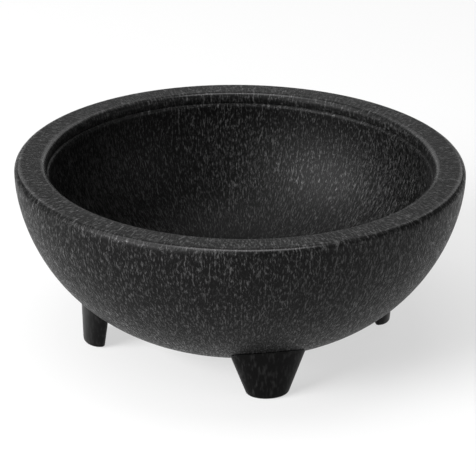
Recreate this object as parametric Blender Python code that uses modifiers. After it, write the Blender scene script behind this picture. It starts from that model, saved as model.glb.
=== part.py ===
"""Molcajete: a turned bowl with a broad flat rim, on four tapered legs plugged into its underside.

Metres, +Z up. The bowl turns about Z and the soles of the legs stand at height 0.
"""

from math import acos, cos, hypot, pi, radians, sin

import bmesh
import bpy
from mathutils import Vector

# Overall sizes
RIM_RADIUS = 0.1050
STAND_HEIGHT = 0.0874

# Rim, the upright lip inside it, and the rounded shoulder below the lip
RIM_WIDTH = 0.0152
RIM_EDGE_ROUND = 0.0035
LIP_EDGE_ROUND = 0.0033
LIP_DEPTH = 0.0048
GROOVE_DEPTH = 0.0004
GROOVE_HEIGHT = 0.0006
SHOULDER_WIDTH = 0.0012
SHOULDER_DROP = 0.0020

# Wall: how far the flat underside is across and above the ground, and how full each curve is
BASE_RADIUS = 0.0368
BASE_LIFT = 0.0060
FLOOR_THICKNESS = 0.0085
OUTER_SIDE_FULLNESS = 2.66
OUTER_BASE_FULLNESS = 1.77
INNER_SIDE_FULLNESS = 3.00
INNER_BASE_FULLNESS = 2.00

# Legs: D-shaped in plan, with the flat back towards the middle of the bowl and the round nose outwards.
# The root sizes are those of the section at ROOT_HEIGHT, and the taper between is straight.
LEG_DIRECTIONS = {"leg_right": 0, "leg_back": 90, "leg_left": 180, "leg_front": 270}
LEG_BACK_RADIUS = 0.0660
LEG_BACK_LEAN = 0.0022
SOLE_WIDTH = 0.0193
SOLE_DEPTH = 0.0089
ROOT_HEIGHT = 0.0315
ROOT_WIDTH = 0.0437
ROOT_DEPTH = 0.0118
LEG_EDGE_ROUND = 0.0012

# Joint of leg and bowl: a tenon with round ends, glued into a blind socket
TENON_LENGTH = 0.0160
TENON_THICKNESS = 0.0060
TENON_DEPTH = 0.0050
JOINT_GAP = 0.0003

# Fineness of the round shapes
TURN_STEPS = 72
WALL_POINTS = 13
ROUND_POINTS = 4
LEG_SEGMENTS = 40
TENON_SEGMENTS = 16
MERGE_DISTANCE = 0.00001
SHARP_ANGLE = radians(30)
OVERSHOOT = 0.0040

CHARCOAL = (0.040, 0.040, 0.042, 1.0)
DARK_CHARCOAL = (0.028, 0.028, 0.030, 1.0)


def clear_scene():
    for obj in list(bpy.data.objects):
        bpy.data.objects.remove(obj, do_unlink=True)


def new_collection(name):
    collection = bpy.data.collections.new(name)
    bpy.context.scene.collection.children.link(collection)
    return collection


def plastic(name, colour, roughness):
    material = bpy.data.materials.new(name)
    material.use_nodes = True
    shader = material.node_tree.nodes["Principled BSDF"]
    shader.inputs["Base Color"].default_value = colour
    shader.inputs["Roughness"].default_value = roughness
    shader.inputs["Metallic"].default_value = 0.0
    return material


def quarter_round(centre, radius_out, radius_up, start, count=ROUND_POINTS):
    """Points of a quarter of an ellipse, from the given angle clockwise through 90 degrees."""
    angles = [start - pi / 2 * step / count for step in range(count + 1)]
    return [(centre[0] + radius_out * cos(a), centre[1] + radius_up * sin(a)) for a in angles]


def wall_curve(radius, top, bottom, side_fullness, base_fullness, end_radius=0.0):
    """A bowl-shaped superellipse, from (radius, top) down to where it reaches end_radius at the bottom."""
    end = acos((end_radius / radius) ** (side_fullness / 2))
    depth = (top - bottom) / sin(end) ** (2 / base_fullness)
    angles = [end * step / (WALL_POINTS - 1) for step in range(WALL_POINTS)]
    return [
        (radius * cos(a) ** (2 / side_fullness), top - depth * sin(a) ** (2 / base_fullness))
        for a in angles[:-1]
    ] + [(end_radius, bottom)]


def outer_wall():
    top = STAND_HEIGHT - RIM_EDGE_ROUND
    return wall_curve(RIM_RADIUS, top, BASE_LIFT, OUTER_SIDE_FULLNESS, OUTER_BASE_FULLNESS, BASE_RADIUS)


def inner_wall():
    lip_foot = STAND_HEIGHT - LIP_DEPTH - GROOVE_HEIGHT
    radius = RIM_RADIUS - RIM_WIDTH - SHOULDER_WIDTH
    floor = BASE_LIFT + FLOOR_THICKNESS
    return wall_curve(radius, lip_foot - SHOULDER_DROP, floor, INNER_SIDE_FULLNESS, INNER_BASE_FULLNESS)


def outer_height(radius):
    """Height of the outer wall above the ground at a distance from the axis."""
    wall = outer_wall()
    for (r1, z1), (r2, z2) in zip(wall, wall[1:]):
        if r2 <= radius <= r1:
            return z2 + (z1 - z2) * (radius - r2) / (r1 - r2)
    return BASE_LIFT


def bowl_profile():
    """From the middle of the floor up the inside, over the rim and down the outside to the axis."""
    lip = RIM_RADIUS - RIM_WIDTH
    lip_foot = STAND_HEIGHT - LIP_DEPTH
    shoulder_top = lip_foot - GROOVE_HEIGHT
    inside = inner_wall()[::-1]
    shoulder = quarter_round(
        (lip, shoulder_top - SHOULDER_DROP), SHOULDER_WIDTH, SHOULDER_DROP, pi
    )[1:]
    groove = [(lip + GROOVE_DEPTH, lip_foot - GROOVE_HEIGHT / 2), (lip, lip_foot)]
    lip_edge = quarter_round((lip + LIP_EDGE_ROUND, STAND_HEIGHT - LIP_EDGE_ROUND),
                             LIP_EDGE_ROUND, LIP_EDGE_ROUND, pi)
    rim_edge = quarter_round((RIM_RADIUS - RIM_EDGE_ROUND, STAND_HEIGHT - RIM_EDGE_ROUND),
                             RIM_EDGE_ROUND, RIM_EDGE_ROUND, pi / 2)
    return inside + shoulder + groove + lip_edge + rim_edge + outer_wall()[1:] + [(0, BASE_LIFT)]


def set_off(points, gap):
    """A line of points that runs down the outside of a wall, moved away from the wall by the gap."""
    moved = []
    for index, (radius, height) in enumerate(points):
        before = points[max(index - 1, 0)]
        after = points[min(index + 1, len(points) - 1)]
        run, drop = after[0] - before[0], after[1] - before[1]
        length = hypot(run, drop)
        moved.append((radius - gap * drop / length, height + gap * run / length))
    return moved


def turned(name, profile, collection):
    """A solid of revolution about Z. The profile at +X runs down its outer side."""
    mesh = bpy.data.meshes.new(name)
    edges = [(index, index + 1) for index in range(len(profile) - 1)]
    mesh.from_pydata([(radius, 0, height) for radius, height in profile], edges, [])
    obj = bpy.data.objects.new(name, mesh)
    collection.objects.link(obj)
    screw = obj.modifiers.new("turn", "SCREW")
    screw.axis = "Z"
    screw.angle = 2 * pi
    screw.steps = TURN_STEPS
    screw.render_steps = TURN_STEPS
    screw.use_merge_vertices = True
    screw.merge_threshold = MERGE_DISTANCE
    screw.use_smooth_shade = True
    return obj


def mesh_object(name, bm, collection):
    bmesh.ops.recalc_face_normals(bm, faces=bm.faces)
    mesh = bpy.data.meshes.new(name)
    bm.to_mesh(mesh)
    bm.free()
    obj = bpy.data.objects.new(name, mesh)
    collection.objects.link(obj)
    return obj


def as_cutter(obj):
    obj.hide_render = True
    obj.display_type = "WIRE"
    return obj


def boolean(obj, operation, other):
    modifier = obj.modifiers.new(f"{operation.lower()}_{other.name}", "BOOLEAN")
    modifier.operation = operation
    modifier.solver = "EXACT"
    modifier.object = other


def leg_section(height):
    """Distance of the flat back from the axis, width and depth of the leg at a height."""
    share = height / ROOT_HEIGHT
    back = LEG_BACK_RADIUS - LEG_BACK_LEAN * share
    width = SOLE_WIDTH + (ROOT_WIDTH - SOLE_WIDTH) * share
    depth = SOLE_DEPTH + (ROOT_DEPTH - SOLE_DEPTH) * share
    return back, width, depth


def tenon_radius():
    """Distance of the tenon's middle from the axis: the middle of the leg where it meets the bowl."""
    back, _, depth = leg_section(outer_height(LEG_BACK_RADIUS + SOLE_DEPTH / 2))
    return back + depth / 2


def tenon_top():
    return outer_height(tenon_radius()) + TENON_DEPTH


def leg_blank(collection):
    """The leg on +X as a half round bar, drawn out to its taper and running on past the bowl's wall."""
    height = outer_height(LEG_BACK_RADIUS + SOLE_DEPTH) + 2 * OVERSHOOT
    bm = bmesh.new()
    bmesh.ops.create_cone(bm, cap_ends=True, segments=LEG_SEGMENTS, radius1=1, radius2=1, depth=2)
    everything = bm.verts[:] + bm.edges[:] + bm.faces[:]
    cut = bmesh.ops.bisect_plane(bm, geom=everything, plane_co=(0, 0, 0), plane_no=(1, 0, 0),
                                 clear_inner=True, dist=MERGE_DISTANCE)
    rim = [item for item in cut["geom_cut"] if isinstance(item, bmesh.types.BMEdge)]
    bmesh.ops.holes_fill(bm, edges=rim, sides=0)
    for vert in bm.verts:
        level = height if vert.co.z > 0 else 0.0
        back, width, depth = leg_section(level)
        vert.co = Vector((back + vert.co.x * depth, vert.co.y * width / 2, level))
    bmesh.ops.recalc_face_normals(bm, faces=bm.faces)
    outer_edges = [
        edge for edge in bm.edges
        if edge.calc_face_angle(0) > SHARP_ANGLE and min(v.co.z for v in edge.verts) < height / 2
    ]
    bmesh.ops.bevel(bm, geom=outer_edges, offset=LEG_EDGE_ROUND, segments=2, profile=0.5,
                    affect="EDGES", clamp_overlap=True)
    return mesh_object("leg_blank", bm, collection)


def round_ended_bar(name, radius, length, thickness, bottom, top, collection):
    """An upright bar with round ends, at a distance from the axis along +X, long across that direction."""
    bm = bmesh.new()
    bmesh.ops.create_circle(bm, cap_ends=True, segments=TENON_SEGMENTS, radius=thickness / 2)
    for vert in bm.verts:
        straight = (length - thickness) / 2
        side = 0 if abs(vert.co.y) < MERGE_DISTANCE else straight if vert.co.y > 0 else -straight
        vert.co += Vector((radius, side, bottom))
    raised = bmesh.ops.extrude_face_region(bm, geom=bm.faces[:])["geom"]
    moved = [item for item in raised if isinstance(item, bmesh.types.BMVert)]
    bmesh.ops.translate(bm, verts=moved, vec=(0, 0, top - bottom))
    return mesh_object(name, bm, collection)


def shade(mesh, material):
    mesh.materials.clear()
    mesh.materials.append(material)
    mesh.shade_smooth()
    mesh.set_sharp_from_angle(angle=SHARP_ANGLE)


def leg_mesh(cutters):
    """One leg on +X: the blank, hollowed on top to sit under the wall, with its tenon standing up."""
    blank = leg_blank(cutters)
    above = [(0, STAND_HEIGHT), (RIM_RADIUS + JOINT_GAP, STAND_HEIGHT)]
    under_wall = as_cutter(turned("saddle", above + set_off(outer_wall(), JOINT_GAP)
                                  + [(0, BASE_LIFT - JOINT_GAP)], cutters))
    lowest = outer_height(tenon_radius() - TENON_THICKNESS / 2) - OVERSHOOT
    tenon = as_cutter(round_ended_bar("tenon", tenon_radius(), TENON_LENGTH, TENON_THICKNESS,
                                      lowest, tenon_top(), cutters))
    boolean(blank, "DIFFERENCE", under_wall)
    boolean(blank, "UNION", tenon)
    bpy.context.view_layer.update()
    finished = blank.evaluated_get(bpy.context.evaluated_depsgraph_get())
    mesh = bpy.data.meshes.new_from_object(finished)
    bpy.data.objects.remove(blank, do_unlink=True)
    return mesh


def socket(name, direction, cutters):
    """The hole in the underside of the bowl for one leg's tenon, with the glue gap all round."""
    hole = as_cutter(round_ended_bar(
        name, tenon_radius(), TENON_LENGTH + 2 * JOINT_GAP, TENON_THICKNESS + 2 * JOINT_GAP,
        outer_height(tenon_radius() - TENON_THICKNESS) - OVERSHOOT, tenon_top() + JOINT_GAP, cutters))
    hole.rotation_euler.z = radians(direction)
    return hole


def make_legs(parts, cutters):
    mesh = leg_mesh(cutters)
    shade(mesh, plastic("moulded_plastic_legs", DARK_CHARCOAL, 0.55))
    for name, direction in LEG_DIRECTIONS.items():
        leg = bpy.data.objects.new(name, mesh)
        leg.rotation_euler.z = radians(direction)
        parts.objects.link(leg)


def make_bowl(parts, cutters):
    bowl = turned("bowl", bowl_profile(), parts)
    bowl.data.materials.append(plastic("moulded_plastic_bowl", CHARCOAL, 0.65))
    for name, direction in LEG_DIRECTIONS.items():
        boolean(bowl, "DIFFERENCE", socket(f"socket_{name}", direction, cutters))


def main():
    clear_scene()
    parts = new_collection("molcajete")
    cutters = new_collection("cutters")
    make_bowl(parts, cutters)
    make_legs(parts, cutters)


main()
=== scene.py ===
"""The molcajete's looks: a heathered charcoal bowl on four smooth charcoal legs, on a pale studio floor."""

from math import acos, atan2, cos, hypot, pi, radians, sin

import bpy
import numpy as np
from mathutils import Matrix, Vector


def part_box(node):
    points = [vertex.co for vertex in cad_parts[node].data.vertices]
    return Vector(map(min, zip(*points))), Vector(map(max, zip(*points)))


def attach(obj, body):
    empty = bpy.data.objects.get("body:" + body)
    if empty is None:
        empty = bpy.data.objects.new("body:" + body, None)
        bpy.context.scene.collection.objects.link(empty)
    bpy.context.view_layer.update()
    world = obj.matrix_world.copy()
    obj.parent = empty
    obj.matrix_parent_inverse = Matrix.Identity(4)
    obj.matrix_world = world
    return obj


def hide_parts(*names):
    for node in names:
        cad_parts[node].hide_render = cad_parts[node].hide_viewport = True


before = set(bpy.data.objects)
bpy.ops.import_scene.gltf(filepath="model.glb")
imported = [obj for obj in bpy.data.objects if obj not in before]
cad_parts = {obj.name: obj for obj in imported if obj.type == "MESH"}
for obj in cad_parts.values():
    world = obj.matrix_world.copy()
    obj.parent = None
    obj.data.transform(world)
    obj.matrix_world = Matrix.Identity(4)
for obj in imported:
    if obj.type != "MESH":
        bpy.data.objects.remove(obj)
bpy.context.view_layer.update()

MM = 0.001
LEG_DIRECTIONS = {"leg_right": 0, "leg_back": 90, "leg_left": 180, "leg_front": 270}

# The bowl's outside sizes come from the frame, and its finer ones are the design's own.
BOWL_LOW, BOWL_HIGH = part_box("bowl")
RIM_RADIUS = BOWL_HIGH.x
RIM_TOP = BOWL_HIGH.z
BASE_LIFT = BOWL_LOW.z
RIM_WIDTH = 15.2 * MM
RIM_EDGE_ROUND = 3.5 * MM
LIP_EDGE_ROUND = 3.3 * MM
LIP_DEPTH = 4.8 * MM
GROOVE_DEPTH = 0.4 * MM
GROOVE_HEIGHT = 0.6 * MM
SHOULDER_WIDTH = 1.2 * MM
SHOULDER_DROP = 2.0 * MM
BASE_RADIUS = 36.8 * MM
FLOOR_THICKNESS = 8.5 * MM
OUTER_SIDE_FULLNESS = 2.66
OUTER_BASE_FULLNESS = 1.77
INNER_SIDE_FULLNESS = 3.00
INNER_BASE_FULLNESS = 2.00
GATE_RADIUS = 5.0 * MM
GATE_DEPTH = 0.5 * MM

# Legs. The section at ROOT_HEIGHT, inside the bowl's wall, sets the taper.
LEG_BACK_RADIUS = 66.0 * MM
LEG_BACK_LEAN = 2.2 * MM
SOLE_WIDTH = 19.3 * MM
SOLE_DEPTH = 8.9 * MM
ROOT_HEIGHT = 31.5 * MM
ROOT_WIDTH = 43.7 * MM
ROOT_DEPTH = 11.8 * MM
LEG_EDGE_ROUND = 1.6 * MM
SOLE_EDGE_ROUND = 1.2 * MM
TENON_LENGTH = 16.0 * MM
TENON_THICKNESS = 6.0 * MM
TENON_DEPTH = 5.0 * MM
JOINT_GAP = 0.3 * MM
OVERSHOOT = 4.0 * MM

TURN_STEPS = 288
WALL_POINTS = 44
ROUND_POINTS = 8
LEG_SIDES = 48
TENON_SIDES = 32
SOLE_ROUND_STEPS = 5
SAME_POINT = 0.001 * MM
SHARP_ANGLE = radians(35)

# Camera: ten rim radii from the middle of the rim, seen from a little to the left of the front leg.
# It aims at a point near the bowl's axis, at this height and this far to its right, and is tipped slightly.
CAMERA_AZIMUTH = radians(-11.62)
CAMERA_ELEVATION = radians(21.71)
CAMERA_DISTANCE = 10 * RIM_RADIUS
CAMERA_ROLL = radians(0.68)
CAMERA_AIM_HEIGHT = 47.3 * MM
CAMERA_AIM_SIDE = -0.6 * MM
CAMERA_LENS = 170.3

# Grain: short pale flecks with longer streaks among them, drawn coarser than real fibres so that they show.
# A sway is how far they wander to the side, in fibre widths. SWAY_SCALE is how often, per width or length.
FLECK_WIDTH = 0.8 * MM
FLECK_LENGTH = 2.3 * MM
FLECK_SWAY = 2.0
STREAK_WIDTH = 1.0 * MM
STREAK_LENGTH = 8.0 * MM
STREAK_SWAY = 3.0
STREAK_SHARE = 0.25
SWAY_SCALE = 0.3
# Rings, as shares of the rim, inside which the fibres are fewer, and how much wider each one fades in
FEWER_FIBRES = (0.5, 0.25, 0.12)
FEWER_FADE = 1.2

# Heathered plastic: the grain values at which a fibre begins and is full, and how fast it pales between
FIBRE_START = 0.44
FIBRE_FULL = 0.66
FIBRE_FALLOFF = 2.2
BODY_COLOUR = "#010101"
FIBRE_COLOUR = "#404040"
BODY_ROUGHNESS = 0.54
FIBRE_ROUGHNESS = 0.22
FIBRE_RISE = 0.10 * MM
FIBRE_RISE_STRENGTH = 0.8
HEATHERED_GLOSS = 0.125
PLASTIC_IOR = 1.49

# Rubbed edges: the slope that shines most, how far round the edge the shine fades, how near to the round
# a point has to lie, and the weight and roughness of the shine
RUB_CREST = radians(60)
RUB_SPREAD = radians(28)
RUB_REACH = 0.3 * MM
RUB_WEIGHT = 0.6
RUB_ROUGHNESS = 0.22

# Smooth plastic: specks stretched up the leg, and a fine skin from the mould
SPECK_SIZE = 1.2 * MM
SPECK_STRETCH = (1, 1, 0.3)
SPECK_START = 0.5
SPECK_FULL = 0.8
SPECK_WEIGHT = 0.4
SKIN_COLOUR = "#060606"
SPECK_COLOUR = "#363636"
SKIN_SIZE = 0.9 * MM
SKIN_ROUGHNESS = (0.30, 0.42)
SKIN_RISE = 0.03 * MM
SKIN_RISE_STRENGTH = 0.2
SMOOTH_GLOSS = 0.06

# Studio: a floor disc just under the soles, and softboxes. Each softbox has its angle round from the front
# and its angle up in degrees, its width and height in metres, and its radiance.
FLOOR_RADIUS = 6.0
FLOOR_SIDES = 96
FLOOR_DROP = 0.1 * MM
TABLE_COLOUR = "#8A8A8A"
TABLE_GLOW = 0.60
LIGHT_DISTANCE = 2.0
SOFTBOXES = {
    "left_softbox": (291, 26, 1.2, 0.9, 24.0),
    "high_left_softbox": (285, 58, 1.8, 1.3, 2.4),
    "back_softbox": (168, 32, 2.6, 1.3, 1.35),
    "right_softbox": (52, 14, 1.2, 1.0, 4.2),
    "overhead_softbox": (348, 88, 1.2, 0.8, 6.0),
}


# ---------------------------------------------------------------- shapes

def round_corner(centre, radius_out, radius_up, start):
    """Points of a quarter of an ellipse, clockwise from the given angle."""
    angles = [start - pi / 2 * step / ROUND_POINTS for step in range(ROUND_POINTS + 1)]
    return [(centre[0] + radius_out * cos(a), centre[1] + radius_up * sin(a)) for a in angles]


def wall_curve(radius, top, bottom, side_fullness, base_fullness, end_radius=0.0):
    """A bowl-shaped superellipse, from (radius, top) down to end_radius at the bottom."""
    end = acos((end_radius / radius) ** (side_fullness / 2))
    depth = (top - bottom) / sin(end) ** (2 / base_fullness)
    angles = [end * step / (WALL_POINTS - 1) for step in range(WALL_POINTS)]
    return [
        (radius * cos(a) ** (2 / side_fullness), top - depth * sin(a) ** (2 / base_fullness))
        for a in angles[:-1]
    ] + [(end_radius, bottom)]


def outer_wall():
    return wall_curve(RIM_RADIUS, RIM_TOP - RIM_EDGE_ROUND, BASE_LIFT,
                      OUTER_SIDE_FULLNESS, OUTER_BASE_FULLNESS, BASE_RADIUS)


def outer_height(radius):
    """Height of the outer wall at a distance from the axis."""
    wall = outer_wall()
    for (r1, z1), (r2, z2) in zip(wall, wall[1:]):
        if r2 <= radius <= r1:
            return z2 + (z1 - z2) * (radius - r2) / (r1 - r2)
    return BASE_LIFT


def bowl_outline():
    """From the middle of the floor up the inside, over the rim, down the outside and in to the axis."""
    lip = RIM_RADIUS - RIM_WIDTH
    lip_foot = RIM_TOP - LIP_DEPTH
    shoulder_top = lip_foot - GROOVE_HEIGHT
    inside = wall_curve(lip - SHOULDER_WIDTH, shoulder_top - SHOULDER_DROP, BASE_LIFT + FLOOR_THICKNESS,
                        INNER_SIDE_FULLNESS, INNER_BASE_FULLNESS)[::-1]
    shoulder = round_corner((lip, shoulder_top - SHOULDER_DROP), SHOULDER_WIDTH, SHOULDER_DROP, pi)[1:]
    groove = [(lip + GROOVE_DEPTH, lip_foot - GROOVE_HEIGHT / 2), (lip, lip_foot)]
    lip_edge = round_corner((lip + LIP_EDGE_ROUND, RIM_TOP - LIP_EDGE_ROUND),
                            LIP_EDGE_ROUND, LIP_EDGE_ROUND, pi)
    rim_edge = round_corner((RIM_RADIUS - RIM_EDGE_ROUND, RIM_TOP - RIM_EDGE_ROUND),
                            RIM_EDGE_ROUND, RIM_EDGE_ROUND, pi / 2)
    gate = [(GATE_RADIUS, BASE_LIFT), (GATE_RADIUS - GATE_DEPTH, BASE_LIFT + GATE_DEPTH),
            (0, BASE_LIFT + GATE_DEPTH)]
    return inside + shoulder + groove + lip_edge + rim_edge + outer_wall()[1:] + gate


def set_off(points, gap):
    """A line of points that runs down the outside of a wall, moved away from the wall by the gap."""
    moved = []
    for index, (radius, height) in enumerate(points):
        before = points[max(index - 1, 0)]
        after = points[min(index + 1, len(points) - 1)]
        run, drop = after[0] - before[0], after[1] - before[1]
        length = hypot(run, drop)
        moved.append((radius - gap * drop / length, height + gap * run / length))
    return moved


def select_in_edit(obj, mode, chosen):
    """Selects the vertices, edges or faces of the open mesh for which chosen is true."""
    bpy.ops.object.mode_set(mode="EDIT")
    bpy.ops.mesh.select_mode(type=mode)
    bpy.ops.mesh.select_all(action="DESELECT")
    bpy.ops.object.mode_set(mode="OBJECT")
    items = {"VERT": obj.data.vertices, "EDGE": obj.data.edges, "FACE": obj.data.polygons}[mode]
    for item in items:
        item.select = chosen(item)
    bpy.ops.object.mode_set(mode="EDIT")


def drawn(name, points):
    """Draws a line of edges from one point, a corner at a time, and leaves it selected for editing."""
    bpy.ops.object.select_all(action="DESELECT")
    bpy.ops.mesh.primitive_plane_add(size=MM)
    obj = bpy.context.object
    obj.name = name
    bpy.ops.object.mode_set(mode="EDIT")
    bpy.ops.mesh.select_mode(type="VERT")
    bpy.ops.mesh.select_all(action="SELECT")
    bpy.ops.mesh.merge(type="CENTER")
    bpy.ops.transform.translate(value=points[0])
    for start, end in zip(points, points[1:]):
        step = tuple(b - a for a, b in zip(start, end))
        bpy.ops.mesh.extrude_region_move(TRANSFORM_OT_translate={"value": step})
    bpy.ops.mesh.select_all(action="SELECT")
    bpy.ops.mesh.remove_doubles(threshold=SAME_POINT)
    return obj


def turned(name, outline):
    """Spins an outline about Z into a closed piece."""
    obj = drawn(name, [(radius, 0, height) for radius, height in outline])
    bpy.ops.mesh.spin(steps=TURN_STEPS, angle=2 * pi, center=(0, 0, 0), axis=(0, 0, 1))
    bpy.ops.mesh.select_all(action="SELECT")
    bpy.ops.mesh.remove_doubles(threshold=SAME_POINT)
    bpy.ops.mesh.normals_make_consistent(inside=False)
    bpy.ops.object.mode_set(mode="OBJECT")
    return obj


def cut(obj, operation, other):
    """Applies a Boolean with another piece, which is used up."""
    bpy.ops.object.select_all(action="DESELECT")
    bpy.context.view_layer.objects.active = obj
    modifier = obj.modifiers.new("cut", "BOOLEAN")
    modifier.operation = operation
    modifier.solver = "EXACT"
    modifier.object = other
    bpy.ops.object.modifier_apply(modifier=modifier.name)
    bpy.data.objects.remove(other, do_unlink=True)


def soften(obj):
    """Shades a piece smooth, but for its sharp edges."""
    bpy.ops.object.select_all(action="DESELECT")
    obj.select_set(True)
    bpy.context.view_layer.objects.active = obj
    bpy.ops.object.shade_smooth_by_angle(angle=SHARP_ANGLE)


def leg_section(height):
    """Distance of the flat back from the axis, width and depth of a leg at a height."""
    share = height / ROOT_HEIGHT
    back = LEG_BACK_RADIUS - LEG_BACK_LEAN * share
    width = SOLE_WIDTH + (ROOT_WIDTH - SOLE_WIDTH) * share
    depth = SOLE_DEPTH + (ROOT_DEPTH - SOLE_DEPTH) * share
    return back, width, depth


def tenon_radius():
    back, _, depth = leg_section(outer_height(LEG_BACK_RADIUS + SOLE_DEPTH / 2))
    return back + depth / 2


def tenon_bar(gap, bottom):
    """An upright bar with round ends, which a gap makes larger all round."""
    radius = TENON_THICKNESS / 2 + gap
    top = outer_height(tenon_radius()) + TENON_DEPTH + gap
    bpy.ops.object.select_all(action="DESELECT")
    bpy.ops.mesh.primitive_cylinder_add(vertices=TENON_SIDES, radius=radius, depth=top - bottom,
                                        location=(tenon_radius(), 0, (top + bottom) / 2))
    bar = bpy.context.object
    bpy.ops.object.transform_apply(location=True, rotation=True, scale=True)
    for side in (1, -1):
        select_in_edit(bar, "VERT", lambda v: v.co.y * side > SAME_POINT)
        bpy.ops.transform.translate(value=(0, side * (TENON_LENGTH - TENON_THICKNESS) / 2, 0))
    bpy.ops.object.mode_set(mode="OBJECT")
    return bar


def turn_to(obj, degrees):
    """Turns a finished piece about the bowl's axis, in its mesh."""
    obj.data.transform(Matrix.Rotation(radians(degrees), 4, "Z"))


def sole_outline():
    """The foot of a leg on +X: an oval front, a flat back and round corners between them."""
    front = SOLE_DEPTH - 2 * LEG_EDGE_ROUND
    side = SOLE_WIDTH / 2 - LEG_EDGE_ROUND
    points = []
    for step in range(LEG_SIDES + 1):
        turn = pi * (step / LEG_SIDES - 0.5)
        out, across = cos(turn) / front, sin(turn) / side
        share = LEG_EDGE_ROUND / hypot(out, across)
        points.append((front * cos(turn) + out * share, side * sin(turn) + across * share))
    for centre, start in ((side, pi / 2), (-side, pi)):
        for step in range(1, ROUND_POINTS + 1):
            turn = start + pi / 2 * step / ROUND_POINTS
            points.append((LEG_EDGE_ROUND * cos(turn), centre + LEG_EDGE_ROUND * sin(turn)))
    return [(LEG_BACK_RADIUS + LEG_EDGE_ROUND + x, y, 0) for x, y in points]


def make_leg():
    """One leg on +X: its foot drawn up to its taper, saddled under the wall, with its tenon."""
    height = outer_height(LEG_BACK_RADIUS + SOLE_DEPTH) + 2 * OVERSHOOT
    back, width, depth = leg_section(height)
    foot = sole_outline()
    leg = drawn("leg", foot + foot[:1])
    bpy.ops.mesh.edge_face_add()
    bpy.ops.mesh.extrude_region_move(TRANSFORM_OT_translate={"value": (back - LEG_BACK_RADIUS, 0, height)})
    bpy.ops.transform.resize(value=(depth / SOLE_DEPTH, width / SOLE_WIDTH, 1),
                             center_override=(back, 0, height))
    bpy.ops.mesh.select_all(action="SELECT")
    bpy.ops.mesh.normals_make_consistent(inside=False)
    bpy.ops.object.mode_set(mode="OBJECT")
    level = [vert.co.z < SAME_POINT for vert in leg.data.vertices]
    select_in_edit(leg, "EDGE", lambda edge: all(level[v] for v in edge.vertices))
    bpy.ops.mesh.bevel(offset=SOLE_EDGE_ROUND, segments=SOLE_ROUND_STEPS, profile=0.5)
    bpy.ops.object.mode_set(mode="OBJECT")
    above = [(0, RIM_TOP), (RIM_RADIUS + JOINT_GAP, RIM_TOP)]
    cut(leg, "DIFFERENCE", turned("saddle", above + set_off(outer_wall(), JOINT_GAP)
                                  + [(0, BASE_LIFT - JOINT_GAP)]))
    cut(leg, "UNION", tenon_bar(0, outer_height(tenon_radius() - TENON_THICKNESS / 2) - OVERSHOOT))
    return leg


def grain_run(bowl, outline):
    """Stores how far each point is along the outline, so that the grain can follow the moulding flow."""
    points = np.array(outline)
    steps = np.linalg.norm(np.diff(points, axis=0), axis=1)
    runs = np.concatenate([[0], np.cumsum(steps)])
    co = np.empty(len(bowl.data.vertices) * 3)
    bowl.data.vertices.foreach_get("co", co)
    co = co.reshape(-1, 3)
    flat = np.stack([np.hypot(co[:, 0], co[:, 1]), co[:, 2]], axis=1)
    best = np.full(len(flat), np.inf)
    run = np.zeros(len(flat))
    for start, end, length, before in zip(points, points[1:], steps, runs):
        along = np.clip((flat - start) @ (end - start) / length ** 2, 0, 1)
        away = np.linalg.norm(flat - start - along[:, None] * (end - start), axis=1)
        nearer = away < best
        best[nearer] = away[nearer]
        run[nearer] = before + along[nearer] * length
    bowl.data.attributes.new("grain_run", "FLOAT", "POINT").data.foreach_set("value", run)


def edge_rub(bowl):
    """Stores how far the rim's two rounded edges have been rubbed smooth at each point, most at the crest."""
    rub = []
    for vert in bowl.data.vertices:
        radius = hypot(vert.co.x, vert.co.y)
        side, edge = max((radius - RIM_RADIUS + RIM_EDGE_ROUND, RIM_EDGE_ROUND),
                         (RIM_RADIUS - RIM_WIDTH + LIP_EDGE_ROUND - radius, LIP_EDGE_ROUND))
        rise = vert.co.z - RIM_TOP + edge
        on_edge = side > 0 and rise > 0 and abs(hypot(side, rise) - edge) < RUB_REACH
        away = abs(atan2(rise, side) - RUB_CREST) / RUB_SPREAD
        rub.append(max(0.0, 1.0 - away) if on_edge else 0.0)
    bowl.data.attributes.new("edge_rub", "FLOAT", "POINT").data.foreach_set("value", rub)


def make_bowl():
    outline = bowl_outline()
    bowl = turned("molcajete_bowl", outline)
    for direction in LEG_DIRECTIONS.values():
        socket = tenon_bar(JOINT_GAP, outer_height(tenon_radius() - TENON_THICKNESS) - OVERSHOOT)
        turn_to(socket, direction)
        cut(bowl, "DIFFERENCE", socket)
    soften(bowl)
    grain_run(bowl, outline)
    edge_rub(bowl)
    return bowl


# ---------------------------------------------------------------- finishes

def linear(code):
    """A linear colour from an sRGB hex code."""
    parts = [int(code[start:start + 2], 16) / 255 for start in (1, 3, 5)]
    return [p / 12.92 if p <= 0.04045 else ((p + 0.055) / 1.055) ** 2.4 for p in parts] + [1.0]


def add(tree, kind, inputs=None, **settings):
    """Adds a node with its settings. An input is a value, or the socket that feeds it."""
    made = tree.nodes.new(kind)
    for name, value in settings.items():
        setattr(made, name, value)
    for name, value in (inputs or {}).items():
        if isinstance(value, bpy.types.NodeSocket):
            tree.links.new(value, made.inputs[name])
        else:
            made.inputs[name].default_value = value
    return made


def new_finish(name):
    """An empty material and its shader."""
    finish = bpy.data.materials.new(name)
    finish.use_nodes = True
    return finish, finish.node_tree, finish.node_tree.nodes["Principled BSDF"]


def out_from_axis(tree):
    """The level part of a point's place: its direction and distance from the bowl's axis."""
    point = add(tree, "ShaderNodeTexCoord").outputs["Object"]
    return add(tree, "ShaderNodeVectorMath", {0: point, 1: (1, 1, 0)}, operation="MULTIPLY").outputs[0]


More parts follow.
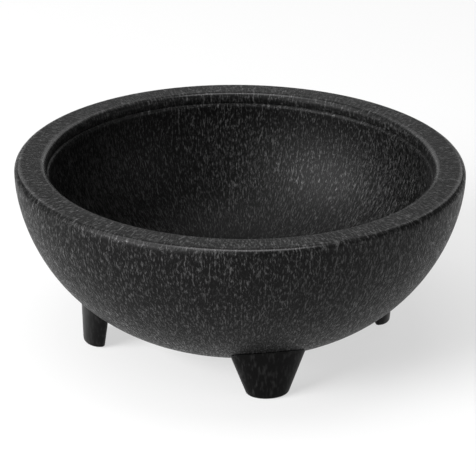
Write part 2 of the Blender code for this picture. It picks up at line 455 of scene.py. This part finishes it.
def flow_place(tree, ring_radius, width, length):
    """Where a point lies in the grain, in fibre widths round a ring and fibre lengths down the flow."""
    way = add(tree, "ShaderNodeVectorMath", {0: out_from_axis(tree)}, operation="NORMALIZE")
    ring = add(tree, "ShaderNodeVectorMath", {0: way.outputs[0], "Scale": ring_radius / width},
               operation="SCALE")
    run = add(tree, "ShaderNodeAttribute", attribute_name="grain_run").outputs["Fac"]
    along = add(tree, "ShaderNodeMath", {0: run, 1: 1 / length}, operation="MULTIPLY")
    rise = add(tree, "ShaderNodeCombineXYZ", {"Z": along.outputs[0]})
    both = add(tree, "ShaderNodeVectorMath", {0: ring.outputs[0], 1: rise.outputs[0]}, operation="ADD")
    return both.outputs[0]


def fibres(tree, ring_radius, width, length, sway):
    """A streaky value between 0 and 1, whose streaks sway from side to side."""
    grain = flow_place(tree, ring_radius, width, length)
    wander = add(tree, "ShaderNodeTexNoise", {"Vector": grain, "Scale": SWAY_SCALE, "Detail": 1.0})
    centred = add(tree, "ShaderNodeVectorMath", {0: wander.outputs["Color"], 1: (0.5, 0.5, 0.5)},
                  operation="SUBTRACT")
    moved = add(tree, "ShaderNodeVectorMath", {0: centred.outputs[0], 1: (sway, sway, 0), 2: grain},
                operation="MULTIPLY_ADD")
    return add(tree, "ShaderNodeTexNoise", {"Vector": moved.outputs[0], "Scale": 1.0, "Detail": 3.0,
                                            "Roughness": 0.7}).outputs["Fac"]


def even_fibres(tree, width, length, sway):
    """Fibres that stay about as wide near the axis as at the rim, because the small rings hold fewer."""
    away = add(tree, "ShaderNodeVectorMath", {0: out_from_axis(tree)}, operation="LENGTH")
    distance = away.outputs["Value"]
    value = fibres(tree, RIM_RADIUS, width, length, sway)
    for share in FEWER_FIBRES:
        ring = RIM_RADIUS * share
        fewer = fibres(tree, ring, width, length, sway)
        within = add(tree, "ShaderNodeMapRange", {"Value": distance, "From Min": ring * FEWER_FADE,
                                                  "From Max": ring})
        value = add(tree, "ShaderNodeMix", {"Factor": within.outputs["Result"], "A": value,
                                            "B": fewer}).outputs["Result"]
    return value


def heathered_plastic():
    """Black polypropylene with pale fibres mixed in, injection moulded. The flow draws the fibres out, so
    the eye sees fine pale flecks, glossier than the dull body, that run up the wall and across the rim.
    Handling has rubbed the rim's edges to a thin shine."""
    finish, tree, shader = new_finish("heathered_black_polypropylene")
    short = even_fibres(tree, FLECK_WIDTH, FLECK_LENGTH, FLECK_SWAY)
    long = even_fibres(tree, STREAK_WIDTH, STREAK_LENGTH, STREAK_SWAY)
    both = add(tree, "ShaderNodeMix", {"Factor": STREAK_SHARE, "A": short, "B": long}).outputs["Result"]
    flecks = add(tree, "ShaderNodeMapRange", {"Value": both, "From Min": FIBRE_START, "From Max": FIBRE_FULL},
                 interpolation_type="SMOOTHSTEP").outputs["Result"]
    bright = add(tree, "ShaderNodeMath", {0: flecks, 1: FIBRE_FALLOFF}, operation="POWER").outputs[0]
    colour = add(tree, "ShaderNodeMix", {"Factor": bright, "A": linear(BODY_COLOUR),
                                         "B": linear(FIBRE_COLOUR)}, data_type="RGBA")
    rough = add(tree, "ShaderNodeMapRange", {"Value": flecks, "To Min": BODY_ROUGHNESS,
                                             "To Max": FIBRE_ROUGHNESS})
    bump = add(tree, "ShaderNodeBump", {"Height": flecks, "Strength": FIBRE_RISE_STRENGTH,
                                        "Distance": FIBRE_RISE})
    tree.links.new(colour.outputs["Result"], shader.inputs["Base Color"])
    tree.links.new(rough.outputs["Result"], shader.inputs["Roughness"])
    tree.links.new(bump.outputs["Normal"], shader.inputs["Normal"])
    rub = add(tree, "ShaderNodeAttribute", attribute_name="edge_rub").outputs["Fac"]
    coat = add(tree, "ShaderNodeMath", {0: rub, 1: RUB_WEIGHT}, operation="MULTIPLY")
    tree.links.new(coat.outputs[0], shader.inputs["Coat Weight"])
    shader.inputs["Coat Roughness"].default_value = RUB_ROUGHNESS
    shader.inputs["IOR"].default_value = PLASTIC_IOR
    shader.inputs["Specular IOR Level"].default_value = HEATHERED_GLOSS
    return finish


def smooth_plastic():
    """The same polypropylene, injection moulded against smoother steel. The fibres stay under the skin, so
    the eye sees a darker, smoother black with hardly a fleck."""
    finish, tree, shader = new_finish("smooth_black_polypropylene")
    point = add(tree, "ShaderNodeTexCoord").outputs["Object"]
    drawn_out = add(tree, "ShaderNodeMapping", {"Vector": point, "Scale": SPECK_STRETCH})
    specks = add(tree, "ShaderNodeTexNoise", {"Vector": drawn_out.outputs[0], "Scale": 1 / SPECK_SIZE,
                                              "Detail": 2.0})
    few = add(tree, "ShaderNodeMapRange", {"Value": specks.outputs["Fac"], "From Min": SPECK_START,
                                           "From Max": SPECK_FULL, "To Max": SPECK_WEIGHT})
    colour = add(tree, "ShaderNodeMix", {"Factor": few.outputs["Result"], "A": linear(SKIN_COLOUR),
                                         "B": linear(SPECK_COLOUR)}, data_type="RGBA")
    skin = add(tree, "ShaderNodeTexNoise", {"Vector": point, "Scale": 1 / SKIN_SIZE, "Detail": 2.0})
    rough = add(tree, "ShaderNodeMapRange", {"Value": skin.outputs["Fac"], "To Min": SKIN_ROUGHNESS[0],
                                             "To Max": SKIN_ROUGHNESS[1]})
    bump = add(tree, "ShaderNodeBump", {"Height": skin.outputs["Fac"], "Strength": SKIN_RISE_STRENGTH,
                                        "Distance": SKIN_RISE})
    tree.links.new(colour.outputs["Result"], shader.inputs["Base Color"])
    tree.links.new(rough.outputs["Result"], shader.inputs["Roughness"])
    tree.links.new(bump.outputs["Normal"], shader.inputs["Normal"])
    shader.inputs["IOR"].default_value = PLASTIC_IOR
    shader.inputs["Specular IOR Level"].default_value = SMOOTH_GLOSS
    return finish


def light_table():
    """White acrylic, cast matt and lit faintly from below. The eye sees an even, dull, pale ground that takes
    only a thin shadow."""
    finish, _, shader = new_finish("white_acrylic_light_table")
    shader.inputs["Base Color"].default_value = linear(TABLE_COLOUR)
    shader.inputs["Roughness"].default_value = 1.0
    shader.inputs["Specular IOR Level"].default_value = 0.0
    shader.inputs["Emission Color"].default_value = (1, 1, 1, 1)
    shader.inputs["Emission Strength"].default_value = TABLE_GLOW
    return finish


# ---------------------------------------------------------------- studio

def make_floor():
    bpy.ops.object.select_all(action="DESELECT")
    bpy.ops.mesh.primitive_circle_add(vertices=FLOOR_SIDES, radius=FLOOR_RADIUS, fill_type="NGON",
                                      location=(0, 0, -FLOOR_DROP))
    floor = bpy.context.object
    floor.name = "studio_floor"
    floor.data.materials.append(light_table())


def soft_light(name, azimuth, elevation, width, height, radiance):
    """A softbox that faces the bowl, at an angle round from the front and an angle up."""
    turn, rise = radians(azimuth), radians(elevation)
    away = Vector((sin(turn) * cos(rise), -cos(turn) * cos(rise), sin(rise)))
    lamp = bpy.data.lights.new(name, "AREA")
    lamp.shape = "RECTANGLE"
    lamp.size = width
    lamp.size_y = height
    lamp.energy = radiance * pi * width * height
    holder = bpy.data.objects.new(name, lamp)
    holder.location = away * LIGHT_DISTANCE
    holder.rotation_euler = away.to_track_quat("Z", "Y").to_euler()
    holder.visible_camera = False
    bpy.context.scene.collection.objects.link(holder)


def make_lights():
    world = bpy.data.worlds.new("studio")
    world.use_nodes = True
    world.node_tree.nodes["Background"].inputs["Color"].default_value = (0, 0, 0, 1)
    bpy.context.scene.world = world
    for name, settings in SOFTBOXES.items():
        soft_light(name, *settings)


def make_camera():
    away = Vector((sin(CAMERA_AZIMUTH) * cos(CAMERA_ELEVATION), -cos(CAMERA_AZIMUTH) * cos(CAMERA_ELEVATION),
                   sin(CAMERA_ELEVATION)))
    lens = bpy.data.cameras.new("camera")
    lens.lens = CAMERA_LENS
    camera = bpy.data.objects.new("camera", lens)
    camera.location = Vector((0, 0, RIM_TOP)) + away * CAMERA_DISTANCE
    aim = Vector((cos(CAMERA_AZIMUTH), sin(CAMERA_AZIMUTH), 0)) * CAMERA_AIM_SIDE
    aim.z = CAMERA_AIM_HEIGHT
    looking = (aim - camera.location).to_track_quat("-Z", "Y").to_matrix().to_4x4()
    camera.rotation_euler = (looking @ Matrix.Rotation(CAMERA_ROLL, 4, "Z")).to_euler()
    bpy.context.scene.collection.objects.link(camera)
    bpy.context.scene.camera = camera


# ---------------------------------------------------------------- assembly

def place(piece, node, finish):
    piece.data.materials.clear()
    piece.data.materials.append(finish)
    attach(piece, "root")
    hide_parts(node)


def make_object():
    place(make_bowl(), "bowl", heathered_plastic())
    smooth = smooth_plastic()
    pattern = make_leg()
    soften(pattern)
    for name, direction in LEG_DIRECTIONS.items():
        leg = bpy.data.objects.new(f"molcajete_{name}", pattern.data.copy())
        bpy.context.scene.collection.objects.link(leg)
        turn_to(leg, direction)
        place(leg, name, smooth)
    bpy.data.objects.remove(pattern, do_unlink=True)


def main():
    bpy.context.scene.view_settings.view_transform = "Standard"
    make_floor()
    make_lights()
    make_camera()
    make_object()


main()
